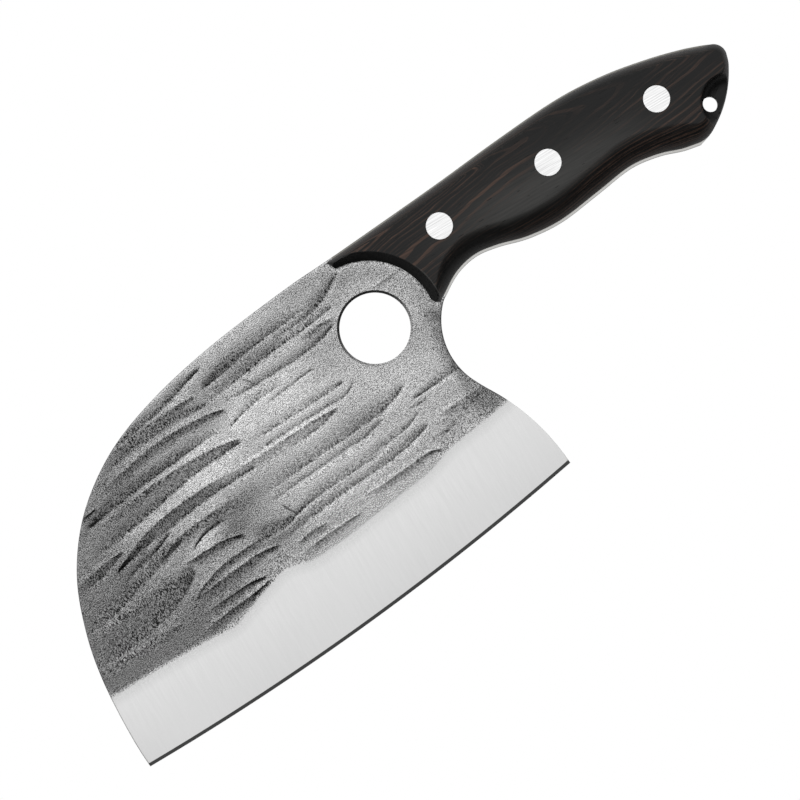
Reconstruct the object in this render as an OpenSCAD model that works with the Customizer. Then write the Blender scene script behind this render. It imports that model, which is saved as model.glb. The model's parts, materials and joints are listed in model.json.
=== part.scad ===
// Forged meat cleaver with a full tang, two hardwood scales and three cutler's rivets.
// Origin: centre of the finger hole, halfway through the thickness of the blade.
// +X runs back to the butt, +Y up to the spine, +Z out of the left side of the blade.
// The knife lies on its right side; the cutting edge faces -Y. Millimetres.

/* [Blade] */
// Thickness of the blade, and of the tang inside the handle
blade_t = 4; // [3:0.5:5]
// Radius of the gently curved cutting edge
edge_r = 915; // [700:5:1400]
// Width of the ground bevel, from the cutting edge up
bevel_w = 28; // [20:1:32]
// Width of the honed strip along the cutting edge
hone_w = 1.3; // [0.8:0.1:2.5]
// Thickness where the bevel meets the honed strip
hone_t = 0.8; // [0.4:0.1:1.2]
// Thickness of the cutting edge itself
edge_t = 0.1; // [0.06:0.02:0.2]

/* [Finger hole] */
// Radius of the finger hole's wall
finger_r = 11.6; // [10:0.1:13]
// Width of the chamfer at each face of the finger hole
chamfer_w = 0.8; // [0.2:0.1:1.5]
// Depth of that chamfer
chamfer_d = 0.6; // [0.2:0.1:1]

/* [Handle] */
// Thickness of each scale at its flat face
scale_t = 8; // [7:0.5:10]
// How far the tang stands proud of the scales along the belly
belly_proud = 0.9; // [0:0.1:1.5]
// How far the tang stands proud of the scales along the back
back_proud = 0.5; // [0:0.1:1]
// Width of the rounding from the back of the scale to its flat face
back_round = 3.6; // [2.5:0.1:5]
// Width of the rounding at the butt end of the scale
butt_round = 2; // [1:0.1:3]
// Radius of the hollow front end of the scales
front_r = 22.5; // [21:0.1:23]
// Width of the bevel along the front end of the scales
front_bevel = 2.9; // [1:0.1:3.5]
// Height of the plain wall under that bevel
front_wall = 3; // [1:0.5:5]

/* [Rivets] */
// Distance from one rivet to the next
rivet_pitch = 40.75; // [38:0.25:42]
// Radius of the rivet heads, flush with the flat faces
head_r = 4.45; // [4:0.05:5]
// Thickness of the rivet heads
head_t = 2; // [1.5:0.1:3]
// Radius of the post of each rivet, pressed into its socket
post_r = 2.5; // [2:0.1:2.6]
// Outer radius of the socket's tube
tube_r = 3.2; // [3.1:0.05:3.5]
// Clearance round that tube where it passes through the tang
tang_clearance = 0.1; // [0.05:0.05:0.3]

/* [Lanyard hole] */
// Radius of the lanyard hole through both scales and the tang
lanyard_r = 2.6; // [2:0.1:3]
// Radius of the scoop that the lanyard hole opens into
scoop_r = 9; // [7:0.5:10]
// Depth of that scoop below the flat face
scoop_depth = 5; // [2:0.5:6]

/* [Hidden] */

STEEL = [0.62, 0.62, 0.61];
WOOD = [0.17, 0.15, 0.14];
BRIGHT = [0.9, 0.9, 0.89];
$fn = 96;
EDGE_FN = 720;
EPS = 0.01;

face_z = blade_t / 2 + scale_t;
first_rivet = [34.7, 18];
lanyard = [130.7, 7.8];
scoop = [136.2, 5.6];
front_centre = [-2, 0.5];

// Lower front and lower rear corners of the blade, both on the cutting edge
toe = [-134.8, -86.1];
heel = [32.7, -69.8];
chord = heel - toe;
edge_centre = (toe + heel) / 2
            + [-chord.y, chord.x] / norm(chord) * sqrt(edge_r * edge_r - chord * chord / 4);

// Points on the spine of the blade, from below the toe to the front of the handle
spine_knots = [[-134.5, -92], [-135.4, -77], [-134.4, -56], [-131, -38], [-124, -20],
               [-112, -4.2], [-95, 8.3], [-75, 16.2], [-50, 21.8], [-20, 25.6], [-3, 26.8]];
// Points on the back of the handle, then on its belly, butt to front
back_knots = [[-3, 26.8], [10, 27.8], [40, 30.3], [65, 32.8], [88, 34.4],
              [105, 33.5], [120, 30.9], [131, 28.1], [137.5, 25.9]];
belly_knots = [[121.5, -2.1], [115.5, -0.9], [108, 1.5], [98, 2.7], [85, 0.9], [70, -1],
               [58, -0.1], [48, 2.5], [40, 3.45], [32, 1.5], [24, -3.4]];
// The lower border of the flat face, a ridge with one point for each point of the belly
ridge_knots = [[120.5, 8.5], [115, 11.4], [108, 13.8], [98, 14.6], [85, 12.4], [70, 10.2],
               [58, 10.8], [48, 12.2], [40.5, 13.2], [34, 11.8], [27.5, 8]];
// The front tips of a scale and the line that closes its outline, which the hollow end cuts
front_knots = [[22.7, -3.5], [21.2, -2.6], [19.6, 0], [6, 10], [-2.2, 24.6]];
front_face_knots = [[24.5, 3], [22.5, 3], [19.6, 4], [6, 11], [-3, 22]];

// A smooth curve through the points p, in n steps from each point to the next
function spline(p, n = 4) =
    let (last = len(p) - 1,
         q = concat([2 * p[0] - p[1]], p, [2 * p[last] - p[last - 1]]))
    concat([for (i = [1 : last], j = [0 : n - 1])
                spline_point(q[i - 1], q[i], q[i + 1], q[i + 2], j / n)], [p[last]]);
function spline_point(a, b, c, d, t) =
    (2 * b + (c - a) * t + (2 * a - 5 * b + 4 * c - d) * t * t
     + (3 * b - a - 3 * c + d) * t * t * t) / 2;
// A circular arc about c from angle a0 to a1, its radius going from r0 to r1
function arc(c, r0, r1, a0, a1, n = 8) =
    [for (i = [0 : n]) let (s = i / n, a = a0 + (a1 - a0) * s, r = r0 + (r1 - r0) * s)
        c + r * [cos(a), sin(a)]];
function shifted(p, dy) = [for (k = p) k + [0, dy]];

// Handle outline from the front of the back, round the butt, to the front of the belly
function back_line(inset) = spline(shifted(back_knots, -inset));
function corner_line(inset) = arc([139.2, 20.3], 4.5 - inset, 4.5 - inset, 72, -22, 6);
function butt_line(inset0, inset1) = arc([109.2, 32.5], 37.1 - inset0, 37.1 - inset1, -25, -63);
function handle_line(back, belly) =
    concat(back_line(back), corner_line(0), butt_line(0, 0), spline(shifted(belly_knots, belly)));

blade_line = concat(spline(spine_knots), handle_line(0, 0),
                    arc([40.4, -20.3], 23.56, 23.56, 139, 208, 14),
                    arc([-41.8, -74.5], 74.7, 74.7, 26, -2, 10));
scale_line = concat(handle_line(back_proud, belly_proud), front_knots);
face_line = concat(back_line(back_round), corner_line(butt_round),
                   butt_line(butt_round, 2.5 * butt_round), spline(ridge_knots),
                   front_face_knots);

// Everything outside the ground bevels and the cutting edge, as a ring about the edge's centre
module ground_away() {
    inner = edge_r - bevel_w;
    side = [[inner, blade_t / 2], [edge_r - hone_w, hone_t / 2], [edge_r, edge_t / 2]];
    translate(edge_centre) rotate(-96)
        rotate_extrude(angle = 22, $fn = EDGE_FN)
            polygon(concat(side, [for (i = [2 : -1 : 0]) [side[i].x, -side[i].y]],
                           [[inner, -blade_t], [edge_r + 30, -blade_t],
                            [edge_r + 30, blade_t], [inner, blade_t]]));
}

module through_hole(at, r) {
    translate([at.x, at.y, -2 * face_z]) cylinder(r = r, h = 4 * face_z);
}

module at_rivets() {
    for (i = [0 : 2]) translate([first_rivet.x + i * rivet_pitch, first_rivet.y]) children();
}

module finger_hole() {
    through_hole([0, 0], finger_r);
    for (side = [0, 1]) mirror([0, 0, side])
        translate([0, 0, blade_t / 2 - chamfer_d])
            cylinder(r1 = finger_r, r2 = finger_r + 2 * chamfer_w, h = 2 * chamfer_d);
}

// Blade and full tang, forged in one piece
module blade() {
    color(STEEL) difference() {
        translate([0, 0, -blade_t / 2]) linear_extrude(blade_t) polygon(blade_line);
        ground_away();
        finger_hole();
        at_rivets() through_hole([0, 0], tube_r + tang_clearance);
        through_hole(lanyard, lanyard_r);
    }
}

// Domed block over the outline of a scale, a quarter ellipse from there in to the flat face.
// It starts at the middle of the tang and crowns above the flat face, and both are planed off.
module scale_blank() {
    n = len(scale_line);
    steps = 5;
    crown = 1.03 * scale_t;
    rings = concat([[for (p = scale_line) [p.x, p.y, 0]]],
                   [for (k = [0 : steps]) let (a = 90 * k / steps)
                       [for (i = [0 : n - 1])
                           let (p = scale_line[i] + (face_line[i] - scale_line[i]) * (1 - cos(a)))
                           [p.x, p.y, blade_t / 2 + crown * sin(a)]]]);
    top = (steps + 1) * n;
    polyhedron(points = [for (ring = rings) each ring],
               faces = concat([[for (i = [n - 1 : -1 : 0]) i]],
                              [[for (i = [0 : n - 1]) top + i]],
                              [for (k = [0 : steps], i = [0 : n - 1])
                                  let (j = (i + 1) % n, a = k * n)
                                  each [[a + i, a + n + j, a + n + i], [a + i, a + j, a + n + j]]]));
}

// The hollow front end, with a bevel along its upper edge
module front_hollow() {
    translate([front_centre.x, front_centre.y, -EPS]) cylinder(r = front_r, h = 2 * face_z);
    translate([front_centre.x, front_centre.y, blade_t / 2 + front_wall])
        cylinder(r1 = front_r, r2 = front_r + 2 * front_bevel, h = 2 * (scale_t - front_wall));
}

// Left scale: planed flat, hollowed at the front, scooped at the butt and drilled
module left_scale() {
    color(WOOD) difference() {
        intersection() {
            scale_blank();
            translate([-50, -50, blade_t / 2]) cube([250, 150, scale_t]);
        }
        front_hollow();
        translate([scoop.x, scoop.y, face_z - scoop_depth]) cylinder(r = scoop_r, h = face_z);
        through_hole(lanyard, lanyard_r);
        at_rivets() {
            through_hole([0, 0], tube_r);
            translate([0, 0, face_z - head_t]) cylinder(r = head_r, h = 2 * head_t);
        }
    }
}

module right_scale() {
    mirror([0, 0, 1]) left_scale();
}

// Left half of a rivet: a flush head and a solid post
module rivet_post(i) {
    color(BRIGHT) translate([first_rivet.x + i * rivet_pitch, first_rivet.y, 0]) {
        translate([0, 0, face_z - head_t]) cylinder(r = head_r, h = head_t);
        translate([0, 0, -face_z / 2]) cylinder(r = post_r, h = 1.5 * face_z - head_t + EPS);
    }
}

// Right half of a rivet: a flush head and a tube that grips the post
module rivet_socket(i) {
    rim = face_z / 2 + 0.5;
    color(BRIGHT) translate([first_rivet.x + i * rivet_pitch, first_rivet.y, 0]) difference() {
        union() {
            translate([0, 0, -face_z]) cylinder(r = head_r, h = head_t);
            translate([0, 0, -face_z + EPS]) cylinder(r = tube_r, h = face_z + rim - EPS);
        }
        translate([0, 0, -rim]) cylinder(r = post_r, h = 3 * rim);
    }
}

blade();
left_scale();
right_scale();
rivet_post(0);  // front_rivet_post
rivet_socket(0);  // front_rivet_socket
rivet_post(1);  // middle_rivet_post
rivet_socket(1);  // middle_rivet_socket
rivet_post(2);  // rear_rivet_post
rivet_socket(2);  // rear_rivet_socket
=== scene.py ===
"""A forged meat cleaver: a hammered blade with a full tang, two hardwood scales and three rivets.

It lies on its right side: +X runs back to the butt, +Y up to the spine, +Z out of the left side.
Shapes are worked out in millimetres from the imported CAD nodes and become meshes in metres.
"""

import json
import math

import bpy
import numpy as np
from mathutils import Matrix, Vector
from mathutils.geometry import delaunay_2d_cdt


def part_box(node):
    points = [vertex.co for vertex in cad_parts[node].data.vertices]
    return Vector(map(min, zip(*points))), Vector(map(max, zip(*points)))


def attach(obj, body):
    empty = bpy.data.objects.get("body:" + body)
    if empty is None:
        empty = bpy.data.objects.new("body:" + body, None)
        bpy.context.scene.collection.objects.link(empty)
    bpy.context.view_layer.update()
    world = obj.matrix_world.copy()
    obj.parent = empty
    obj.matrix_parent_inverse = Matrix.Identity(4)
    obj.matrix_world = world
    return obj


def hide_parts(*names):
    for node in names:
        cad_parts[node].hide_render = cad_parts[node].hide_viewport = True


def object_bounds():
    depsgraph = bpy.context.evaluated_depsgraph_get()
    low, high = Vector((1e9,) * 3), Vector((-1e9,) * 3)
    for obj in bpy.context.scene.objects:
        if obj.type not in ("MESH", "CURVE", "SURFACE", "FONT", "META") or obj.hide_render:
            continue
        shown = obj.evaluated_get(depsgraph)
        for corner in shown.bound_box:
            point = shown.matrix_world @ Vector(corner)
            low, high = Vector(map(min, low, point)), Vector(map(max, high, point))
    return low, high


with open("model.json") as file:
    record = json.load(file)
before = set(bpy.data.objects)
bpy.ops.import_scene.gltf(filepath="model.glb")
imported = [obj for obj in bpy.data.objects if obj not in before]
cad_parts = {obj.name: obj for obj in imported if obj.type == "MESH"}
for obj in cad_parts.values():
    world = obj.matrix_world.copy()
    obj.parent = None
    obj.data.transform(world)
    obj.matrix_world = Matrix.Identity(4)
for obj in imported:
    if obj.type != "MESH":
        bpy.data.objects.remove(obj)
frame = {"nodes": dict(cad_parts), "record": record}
cad_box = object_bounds()

MM = 0.001
# Half the thickness of the blade, and half that of the whole grip
HALF_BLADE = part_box("blade")[1].z / MM
FACE_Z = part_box("left_scale")[1].z / MM
MOUNTS = {m["name"]: m for m in frame["record"]["mounts"]}


# ---------------- plan outlines

def far(points, centre):
    """How far each point is from a centre."""
    return np.hypot(*(points - centre).T)


def as_line(loop):
    """The loop as a line that comes back to its start."""
    return np.vstack([loop, loop[:1]])


def perimeter(loop):
    return np.hypot(*(np.roll(loop, -1, 0) - loop).T).sum()


def border_loops(node, picks):
    """Closed borders in plan, longest first, of the node's faces that picks(normal, centre) takes."""
    mesh = frame["nodes"][node].data
    points = [tuple(round(c / MM, 3) for c in v.co) for v in mesh.vertices]
    sides = set()
    for face in mesh.polygons:
        if picks(face.normal, face.center / MM):
            ring = [points[i] for i in face.vertices]
            sides.update(zip(ring, ring[1:] + ring[:1]))
    after = {a: b for a, b in sides if (b, a) not in sides and a != b}
    loops = []
    while after:
        start, here = after.popitem()
        loop = [start]
        while here != start:
            loop.append(here)
            here = after.pop(here)
        loops.append(np.array(loop)[:, :2])
    return sorted(loops, key=perimeter, reverse=True)


def resampled(loop, step, corner=25):
    """The loop in steps of at most that, smooth except at turns sharper than corner degrees."""
    ahead = np.roll(loop, -1, 0) - loop
    length = np.hypot(*ahead.T)[:, None]
    ahead = ahead / length
    behind = np.roll(ahead, 1, 0)
    before = np.roll(length, 1, 0)
    turn = np.degrees(np.arccos(np.clip((ahead * behind).sum(1), -1, 1)))[:, None]
    smooth = (behind * length + ahead * before) / (length + before)
    leave = np.where(turn > corner, ahead, smooth) * length
    arrive = np.roll(np.where(turn > corner, behind, smooth), -1, 0) * length
    end = np.roll(loop, -1, 0)
    made = []
    for i in range(len(loop)):
        n = max(1, math.ceil(length[i, 0] / step))
        t = (np.arange(n) / n)[:, None]
        made.append((2 * t**3 - 3 * t**2 + 1) * loop[i] + (t**3 - 2 * t**2 + t) * leave[i]
                    + (3 * t**2 - 2 * t**3) * end[i] + (t**3 - t**2) * arrive[i])
    return np.vstack(made)


def evened(line, step, passes):
    """The open line with even steps, smoothed by that many passes."""
    along = np.concatenate([[0], np.cumsum(np.hypot(*np.diff(line, axis=0).T))])
    at = np.linspace(0, along[-1], round(along[-1] / step))
    line = np.stack([np.interp(at, along, line[:, 0]), np.interp(at, along, line[:, 1])], 1)
    for _ in range(passes):
        line[1:-1] = (line[:-2] + 2 * line[1:-1] + line[2:]) / 4
    return line


def inset(loop, by):
    """The loop moved towards the material that it goes round, which is on its left."""
    ahead = np.roll(loop, -1, 0) - loop
    ahead = ahead / np.hypot(*ahead.T)[:, None]
    left = np.stack([-ahead[:, 1], ahead[:, 0]], 1)
    both = left + np.roll(left, 1, 0)
    return loop + both * by / np.maximum((both * left).sum(1), 0.4)[:, None]


def circle(centre, radius, steps):
    a = np.arange(steps) * 2 * np.pi / steps
    return np.array(centre) + radius * np.stack([np.cos(a), np.sin(a)], 1)


def inside(points, loops):
    """Which points lie inside an odd number of the closed loops."""
    odd = np.zeros(len(points), bool)
    x, y = points.T
    for loop in loops:
        for (x0, y0), (x1, y1) in zip(loop, np.roll(loop, -1, 0)):
            if y0 != y1:
                odd ^= ((y0 > y) != (y1 > y)) & (x < (x1 - x0) * (y - y0) / (y1 - y0) + x0)
    return odd


def distance(points, line, closed=False):
    """How far each point is from a line of straight stretches."""
    start = line if closed else line[:-1]
    along = (np.roll(line, -1, 0) if closed else line[1:]) - start
    square = np.maximum((along**2).sum(1), 1e-12)
    nearest = []
    for some in np.array_split(points, max(1, len(points) // 2000)):
        off = some[:, None] - start
        t = np.clip((off * along).sum(2) / square, 0, 1)
        nearest.append(np.sqrt(((off - t[..., None] * along) ** 2).sum(2).min(1)))
    return np.concatenate(nearest)


def grid(low, high, step):
    """Points of a triangular grid over a box."""
    rows = np.arange(low[1], high[1], step * math.sqrt(0.75))
    columns = np.arange(low[0], high[0], step)
    x, y = np.meshgrid(columns, rows)
    x = x + step / 2 * (np.arange(len(rows)) % 2)[:, None]
    return np.stack([x.ravel(), y.ravel()], 1)


def turned_to(triangles, plan, way):
    """The triangles, each facing up for way 1 and down for way -1."""
    a, b, c = (plan[triangles[:, i]] for i in range(3))
    wrong = np.cross(b - a, c - a) * way < 0
    triangles[wrong] = triangles[wrong][:, ::-1]
    return triangles


def triangulated(loops, lines, points):
    """Triangles inside the loops, with edges along them and the open lines: (points, triangles)."""
    every = np.vstack([*loops, *lines, points])
    edges, first = [], 0
    for run, closed in [(r, True) for r in loops] + [(r, False) for r in lines]:
        n = len(run)
        edges += [(first + i, first + (i + 1) % n) for i in range(n if closed else n - 1)]
        first += n
    found = delaunay_2d_cdt([Vector(p) for p in every], edges, [], 0, 1e-4, False)
    plan = np.array([tuple(p) for p in found[0]])
    triangles = np.array(found[2])
    triangles = turned_to(triangles[inside(plan[triangles].mean(1), loops)], plan, 1)
    used, triangles = np.unique(triangles, return_inverse=True)
    return plan[used], triangles.reshape(-1, 3)


# ---------------- meshes

def mesh_object(name, points, faces, smooth_angle=35, attributes=None):
    """A piece from points in mm, smooth except at edges sharper than smooth_angle degrees."""
    mesh = bpy.data.meshes.new(name)
    mesh.from_pydata((np.asarray(points) * MM).tolist(), [], faces)
    mesh.validate()
    mesh.shade_smooth()
    mesh.set_sharp_from_angle(angle=math.radians(smooth_angle))
    for key, values in (attributes or {}).items():
        made = mesh.attributes.new(key, "FLOAT", "POINT")
        made.data.foreach_set("value", np.asarray(values, np.float32))
    piece = bpy.data.objects.new(name, mesh)
    bpy.context.scene.collection.objects.link(piece)
    return piece


def border_edges(triangles):
    """The directed edges of the triangles that no other triangle shares."""
    edges = np.vstack([triangles[:, [0, 1]], triangles[:, [1, 2]], triangles[:, [2, 0]]])
    known = set(map(tuple, edges.tolist()))
    return [(a, b) for a, b in known if (b, a) not in known]


def slab_faces(triangles, n):
    """Faces of a closed slab: triangles above, the same ones below with n added, and walls between."""
    walls = [(b, a, a + n, b + n) for a, b in sorted(border_edges(triangles))]
    return triangles.tolist() + (triangles[:, ::-1] + n).tolist() + walls


def smoothstep(x):
    x = np.clip(x, 0, 1)
    return x * x * (3 - 2 * x)


def patches(plan, table):
    """Sum at each point of soft patches, each x, y, reach along x and y, and amount."""
    total = np.zeros(len(plan))
    for x, y, along, across, amount in table:
        total += amount * np.exp(-((plan[:, 0] - x) / along) ** 2 - ((plan[:, 1] - y) / across) ** 2)
    return total


def lathed(name, profile, centre, steps=96):
    """A solid turned about +Z from a line of (radius, height) points that starts and ends on the axis."""
    ring, m = profile[1:-1], len(profile) - 2
    points = [(*centre, profile[0][1]), (*centre, profile[-1][1])]
    faces = []
    for i in range(steps):
        a = 2 * math.pi * i / steps
        points += [(centre[0] + r * math.cos(a), centre[1] + r * math.sin(a), z) for r, z in ring]
        p, q = 2 + i * m, 2 + (i + 1) % steps * m
        faces += [(p + j, q + j, q + j + 1, p + j + 1) for j in range(m - 1)]
        faces += [(0, q, p), (1, p + m - 1, q + m - 1)]
    return mesh_object(name, points, faces)


# ---------------- blade

# Where the grind line runs on each side: x, and how far in from the edge
GRIND_LEFT = [(-140, 26.1), (-112, 26), (-104, 25.6), (-96, 25.2), (-88, 24.4), (-80, 26.6), (-72, 28.9),
              (-64, 30.4), (-57, 28.1), (-47, 27.2), (-33, 27.4), (-20, 27.5), (-7, 27.8), (0, 29.1),
              (17, 29), (35, 29)]
GRIND_RIGHT = [(-140, 27), (-118, 26.2), (-100, 27.5), (-82, 26.6), (-66, 27.2), (-50, 28.3),
               (-35, 27.1), (-22, 26.6), (-8, 27.8), (6, 27.2), (20, 28.4), (35, 28)]
# The honed strip: its width, half its thickness where it ends, and how near the lines beside that end are
HONE_W, HONE_HALF_T, HONE_SHARP = 1.15, 0.4, 0.05
# Half the thickness at the very edge, and how far in the bevel would reach the face
EDGE_HALF_T, BEVEL_W = 0.05, 28
# The heel is the furthest back of the outline's points below this
HEEL_BELOW_Y = -60
# The hollow front of the scales, where they lie on the tang
FRONT_CENTRE, FRONT_R = np.array([-2, 0.5]), 22.5
# The broken edge of the finger hole
CHAMFER_W, CHAMFER_DEPTH = 0.8, 0.6
# Rounding of the blade's outline, and of the tang's from TANG_X back
ROUND_R, TANG_ROUND_R, TANG_X = 0.4, 0.12, 25
# The neck is dressed thinner: its box in plan, how wide and deep, and over what width that starts
NECK_LOW, NECK_HIGH = (12, -46), (26, -9)
DRESSING_W, DRESSING_DEPTH, DRESSING_RISE_W = 6.5, 0.8, 3
# Strips of tang show beside the scales: their width, the x where the belly's starts, and the back's, which
# is above this y and this far behind the corner of the scale
STRIP_W, BELLY_STRIP_X, BACK_STRIP_Y, BACK_STRIP_AFTER = 1.5, 24.5, 15, 2
# Shade is painted onto the tang, from none to full, between these y
TANG_DARK_Y = (8, 20)
# The "ground" attribute on the tang, above all that it is on the bevel
TANG_ZONE = 40
# How far the face lies below full thickness so that the ridges fit, and its rise to the tang: gap and width
SUNK, SUNK_GAP, SUNK_RISE_W = 0.62, 0.8, 6
# How far above the grind line the face is clear of the bevel, and the relief is at full depth
RISE_W, RELIEF_RISE_W = 8, 2
# What the depths and reaches of the creases below are multiplied by
RELIEF, SPREAD = 1.8, 1.45
# A crease narrows and stops short at its tip, and fades over this share of its length at its tail
TIP_NARROW_W, TIP_NARROW, TIP_STOP_W, TAIL_FADE = 12, 0.4, 2, 0.3
# The relief grows milder towards the handle
MILDER_X, MILDER = (-75, -45), 0.74
# How much shade is painted on the side of a crease that faces away from the light, the more near its tip,
# and in its bottom
CREASE_SHADE = 0.5
TIP_SHADE, TIP_REACH = 1.1, 7
LINE_SHADE, LINE_HALF_W = 0.8, 0.55
# Steps between points: along the outline, along a crease, in the relief, on the bevel and under the scales
OUTLINE_STEP, CREASE_STEP = 0.8, 0.6
FINE, MIDDLE, COARSE = 0.56, 1.5, 3
# How far lines and points keep from the outline, the grind line and the broken edge of the finger hole
OUTLINE_GAP, GRIND_GAP, FINGER_GAP = 0.7, 0.4, 0.6
# How far below the grind line the close points of the relief go on
FINE_BELOW = 1.5
# How far in from the outline the rings lie that carry its rounding
ROUND_RINGS = (0.054, 0.2, 0.4)
FINGER_STEPS, SMALL_HOLE_STEPS = 144, 32
RIGHT_SEED = 8

# Each crease of the left side: depth (negative for a raised ridge), how far its slope reaches above and
# below the line, and the line itself from the fading tail to the tip
CREASES_LEFT = [
    # spine side, left column
    (0.3, 2.5, 3, (-99, 8.2), (-80, 10.9), (-70, 13), (-62, 15.6), (-55.6, 17.4)),
    (-0.2, 3, 2.5, (-99, 7.6), (-88, 9), (-80, 10.2), (-72, 10.8), (-62, 10.8)),
    (0.15, 3, 2.5, (-102, 2.6), (-90, 5), (-80, 6), (-70, 6.2), (-60, 6)),
    (-0.3, 2.5, 2.8, (-106, -1.8), (-95, 1), (-85, 3), (-75, 3.9), (-67, 3.7), (-60, 3), (-55.3, 2)),
    (-0.25, 1, 1.5, (-116, -6.4), (-111, -5.2), (-107.8, -4.8)),
    (0.38, 3.2, 1.8, (-56, -3), (-70, -4), (-80, -5), (-90, -6), (-100, -7.4), (-108, -8.6),
     (-113.6, -9.5)),
    (-0.2, 1.6, 3, (-110, -9.6), (-95, -8), (-85, -7.2), (-75, -6.9), (-65, -7.2), (-56, -8.6)),
    (0.25, 3, 5, (-120, -19), (-108, -17.5), (-98, -16), (-88, -14), (-80, -12.3), (-70, -11),
     (-56, -10)),
    (-0.35, 5, 2.8, (-60, -17), (-72, -16.6), (-82, -17.2), (-92, -18.6), (-100, -20.6),
     (-107, -23.5), (-112.6, -26.2)),
    (0.15, 1.5, 2.2, (-92, -22), (-104, -24.6), (-112.6, -26.7)),
    (0.2, 2.5, 3.5, (-99, -24.4), (-90, -22.5), (-80, -21), (-70, -20), (-56, -19.4)),
    (-0.22, 1.5, 2.4, (-128, -24), (-118, -22.3), (-112, -21.4), (-107.2, -21.2)),
    (0.15, 1.6, 2.4, (-126, -26.8), (-116, -24.8), (-107.4, -21.8)),
    (0.22, 1.7, 2.4, (-114, -31), (-104, -28.3), (-97, -26.5), (-91, -23.8)),
    (0.3, 4.5, 2.5, (-134, -39.8), (-120, -37.8), (-110, -35), (-100, -31.7), (-93, -29.6),
     (-88.3, -28.2)),
    (-0.2, 3.5, 3.2, (-64, -24.6), (-75, -24.8), (-84, -25.6), (-92, -27.4), (-98.5, -30.4)),
    (0.25, 1.5, 4.5, (-72, -29.4), (-77, -29.4), (-82, -30.2), (-87, -32.4)),
    (-0.3, 2, 2.3, (-94, -35.2), (-83, -34.6), (-76, -34.8), (-70.4, -36.2)),
    (-0.1, 3, 4, (-134, -40.6), (-120, -38.8), (-110, -38), (-100, -37.8), (-91, -38.6)),
    (0.48, 7, 2.6, (-136, -51.4), (-120, -49.8), (-110, -48.4), (-103, -46.4), (-97, -43.6),
     (-90.4, -39.2)),
    (-0.3, 2.5, 2.2, (-64, -40.2), (-75, -40.6), (-84, -42), (-90, -44.2), (-94.6, -46.3)),
    (-0.3, 1.8, 2.5, (-98, -47.1), (-86, -45.6), (-76, -44.6), (-68, -44.2), (-62.3, -45)),
    (-0.3, 1.6, 1.7, (-94, -51.9), (-84, -51.4), (-77, -50.9), (-70.8, -51.7)),
    (-0.3, 1.8, 2.6, (-100, -57.6), (-92, -56.2), (-85, -55.2), (-78, -54.6), (-69.5, -53.2)),
    (-0.2, 1.5, 3, (-136, -51.8), (-120, -51), (-110, -50.8), (-102.5, -51.4)),
    # right column
    (0.4, 4.2, 2, (-12, 18), (-22, 16.4), (-32, 15.4), (-42, 14), (-50, 12.3), (-58.5, 11.2)),
    (0.35, 3.6, 2.4, (-34, 13.8), (-22, 14), (-14, 15), (-8, 17.6), (-1.4, 21.8)),
    (0.3, 4, 3, (-64, 6.4), (-50, 7.8), (-40, 9.2), (-30, 10.5), (-18, 11.6), (-8.6, 13)),
    (0.25, 2, 3, (-58, 4), (-45, 3.6), (-35, 3.8), (-25, 4.4), (-18, 5.4), (-10.6, 7.8)),
    (-0.12, 2, 3, (-24, 9.4), (-16, 10.4), (-10, 10)),
    (0.15, 2, 1.5, (-34, -0.4), (-44, -0.8), (-50, -2), (-57, -4.2)),
    (0.15, 1, 2.5, (-44, -3.6), (-34, -2.4), (-28, -1.6), (-23.5, -1.2)),
    (0.12, 2.5, 2, (-56, -11.8), (-40, -11.2), (-28, -10.7), (-17, -9.8)),
    (0.15, 1.4, 1.2, (-58, -15.7), (-46, -15), (-36, -14.5), (-26, -14.2), (-18, -13.6), (-14.5, -11.5)),
    (-0.22, 1.2, 2.6, (-68, -17), (-54, -16.8), (-42, -16.2), (-32, -15.7), (-23.4, -16)),
    (0.1, 1.5, 3, (-46, -19.8), (-32, -18.6), (-24, -16.8)),
    (0.32, 4.2, 2.2, (-62, -28.8), (-50, -27.9), (-40, -27), (-30, -26.3), (-20, -25.5), (-12, -24.6),
     (-6, -23), (-1.2, -20.8)),
    (0.2, 2.8, 3, (-62, -32.2), (-50, -31), (-40, -30.2), (-30, -29.4), (-20, -28.8), (-12.6, -27)),
    (0.15, 2, 1.5, (-26, -35.2), (-12, -33.9), (-6, -32.8), (-1.5, -30.8)),
    (0.22, 3, 1.6, (-12, -35), (-26, -36.6), (-36, -37.2), (-46, -38.2), (-53, -39.6)),
    (0.3, 3.6, 2, (-64, -44.8), (-52, -43.2), (-42, -41.8), (-32, -40.8), (-20, -40), (-10, -38.6),
     (-1, -36)),
    (-0.28, 1.4, 2.1, (-32, -45.2), (-20, -44.8), (-10, -43.9), (-4, -43.7), (-0.4, -45)),
    (0.2, 4, 1.5, (-70, -41), (-60, -41.1), (-55, -40.6), (-52.2, -39.4)),
    (-0.15, 1, 2.4, (-44, -46.8), (-51, -46.4), (-56.5, -47.8)),
    (-0.15, 1.2, 2, (-60, -51.8), (-48, -50.2), (-34, -49.4)),
    (0.25, 2.4, 1, (22, -24.6), (10, -25.6), (-1, -26.3)),
    (-0.2, 1.2, 4, (2, -35), (12, -34.2), (24, -33.4)),
    (-0.1, 1, 1.3, (5, 11.6), (12, 12.3), (19, 12.6)),
    (0.06, 1.2, 1, (4, -28.6), (-4, -28.4)),
    (0.08, 1, 1.2, (8, -40.2), (0.6, -40.8)),
    (0.15, 0.8, 0.6, (-55.5, -34), (-53.2, -38), (-51.5, -41)),
    (0.12, 0.8, 0.6, (-46.5, 7.6), (-44.6, 6.2), (-42.5, 3.2)),
]
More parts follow.
